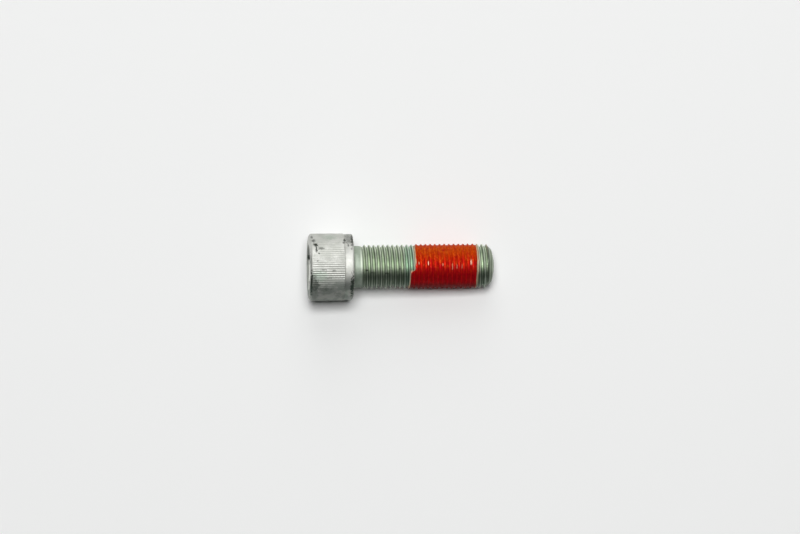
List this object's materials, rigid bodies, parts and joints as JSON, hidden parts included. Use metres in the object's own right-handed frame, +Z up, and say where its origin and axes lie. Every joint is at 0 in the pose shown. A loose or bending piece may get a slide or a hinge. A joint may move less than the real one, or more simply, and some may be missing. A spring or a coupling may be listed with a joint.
{
  "type": "hex socket cap screw",
  "caption": "Socket head cap screw with a ridged cylindrical head, hex socket, fine right-hand thread to the neck, chamfered tip and a red thread-locking film.",
  "frame": {"origin": "middle of the floor that the lying screw covers, at the floor", "axes": "+X along the screw from head to tip, seen from above; +Z up; the screw's own axis goes down towards the tip by 4.61 degrees, as it lies on its head and its thread"},
  "size_m": [0.0594, 0.0214, 0.022],
  "materials": {
    "coated_steel": "silver-green zinc flake coating on steel, satin, with handling scuffs",
    "red_film": "orange-red locking film, glossy and slightly grainy"
  },
  "bodies": {
    "root": {"screw": "coated_steel", "thread_lock_film": "red_film"}
  },
  "joints": []
}
